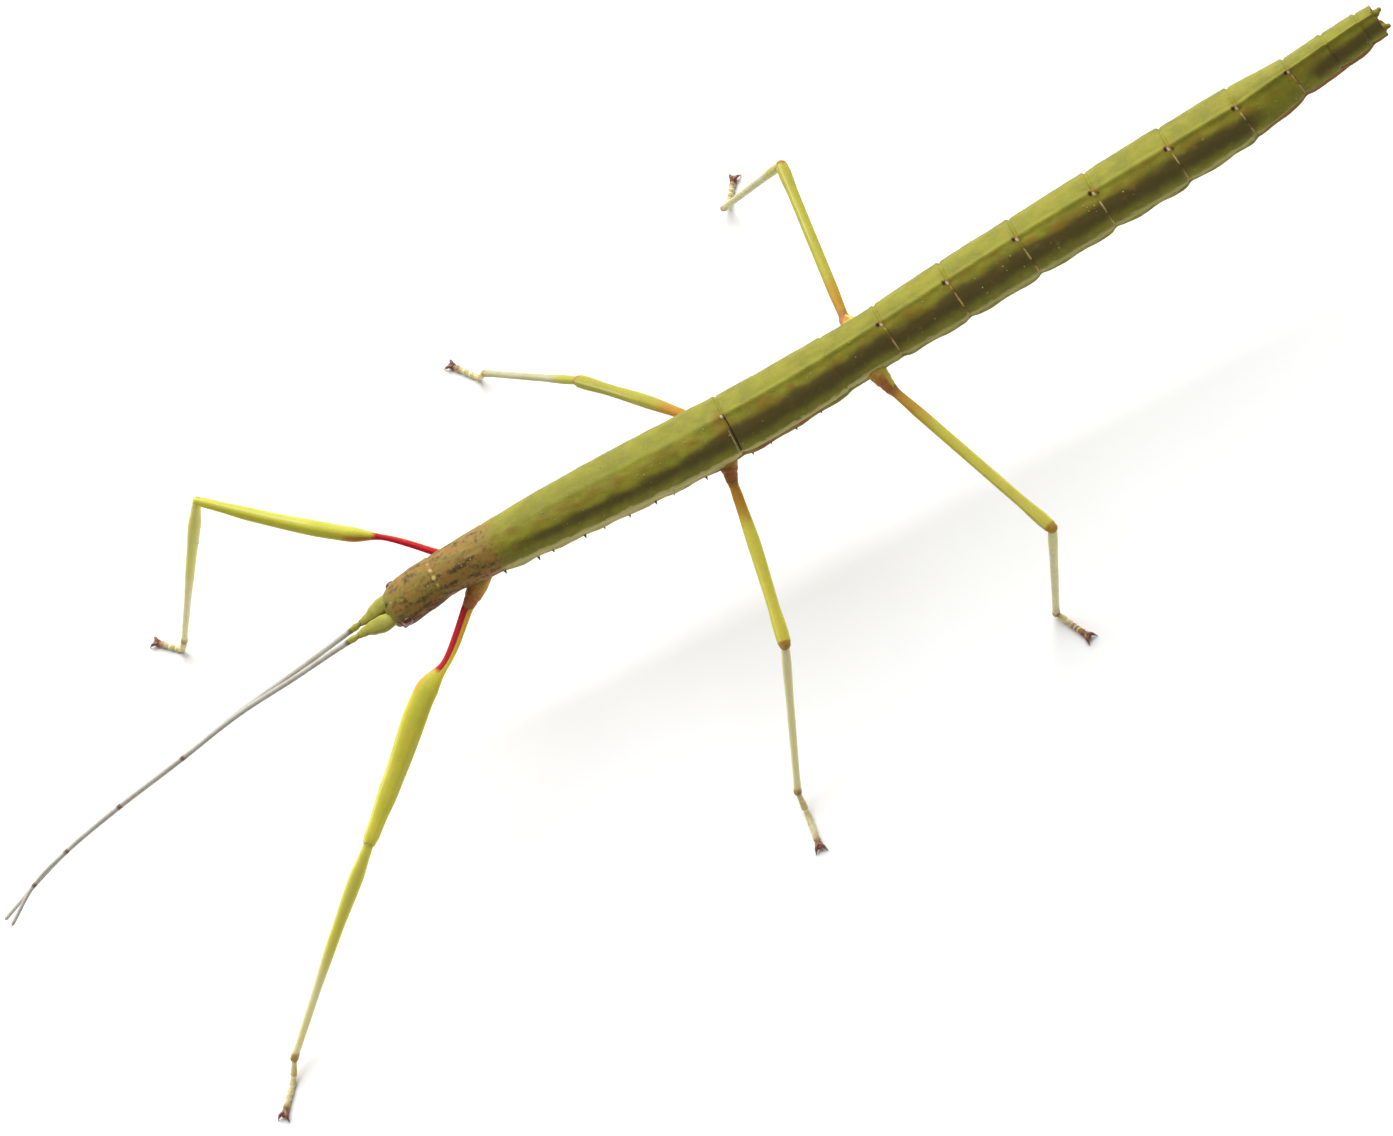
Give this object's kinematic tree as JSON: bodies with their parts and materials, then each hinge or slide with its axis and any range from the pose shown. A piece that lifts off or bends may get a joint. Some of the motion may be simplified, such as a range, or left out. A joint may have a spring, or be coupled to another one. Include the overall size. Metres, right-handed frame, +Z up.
{
  "type": "stick insect",
  "caption": "Life-size standing stick insect: long green body in rings, slender legs with clawed feet, feelers held forward.",
  "frame": {"origin": "on the ground under the animal, at the middle of its length and of its width", "axes": "+X towards the tail end, -X towards the head and feelers, -Y towards the animal's left side, +Z up"},
  "size_m": [0.1118, 0.0508, 0.0212],
  "materials": {
    "back": "satin cuticle",
    "head": "satin cuticle",
    "eye": "glossy lens",
    "feeler": "satin cuticle",
    "scape": "satin cuticle",
    "mouth": "satin cuticle",
    "hip": "satin cuticle",
    "front_femur": "satin cuticle",
    "femur": "satin cuticle",
    "tibia": "satin cuticle",
    "foot": "satin cuticle",
    "claw": "hard shiny cuticle"
  },
  "bodies": {
    "root": {"abdomen_10": "back", "abdomen_2": "back", "abdomen_3": "back", "abdomen_4": "back", "abdomen_5": "back", "abdomen_6": "back", "abdomen_7": "back", "abdomen_8": "back", "abdomen_9": "back", "cercus_left": "back", "cercus_right": "back", "claws_front_left": "claw", "claws_front_right": "claw", "claws_hind_left": "claw", "claws_hind_right": "claw", "claws_middle_left": "claw", "claws_middle_right": "claw", "coxa_front_left": "hip", "coxa_front_right": "hip", "coxa_hind_left": "hip", "coxa_hind_right": "hip", "coxa_middle_left": "hip", "coxa_middle_right": "hip", "eye_left": "eye", "eye_right": "eye", "feeler_base_left": "feeler", "feeler_base_right": "feeler", "feeler_tip_left": "feeler", "feeler_tip_right": "feeler", "femur_front_left": "front_femur", "femur_front_right": "front_femur", "femur_hind_left": "femur", "femur_hind_right": "femur", "femur_middle_left": "femur", "femur_middle_right": "femur", "head": "head", "median_segment": "back", "mesothorax": "back", "metathorax": "back", "mouthparts": "mouth", "operculum": "back", "palp_left": "mouth", "palp_right": "mouth", "pedicel_left": "scape", "pedicel_right": "scape", "prothorax": "back", "scape_left": "scape", "scape_right": "scape", "tarsus_front_left": "foot", "tarsus_front_right": "foot", "tarsus_hind_left": "foot", "tarsus_hind_right": "foot", "tarsus_middle_left": "foot", "tarsus_middle_right": "foot", "tibia_front_left": "tibia", "tibia_front_right": "tibia", "tibia_hind_left": "tibia", "tibia_hind_right": "tibia", "tibia_middle_left": "tibia", "tibia_middle_right": "tibia"}
  },
  "joints": []
}
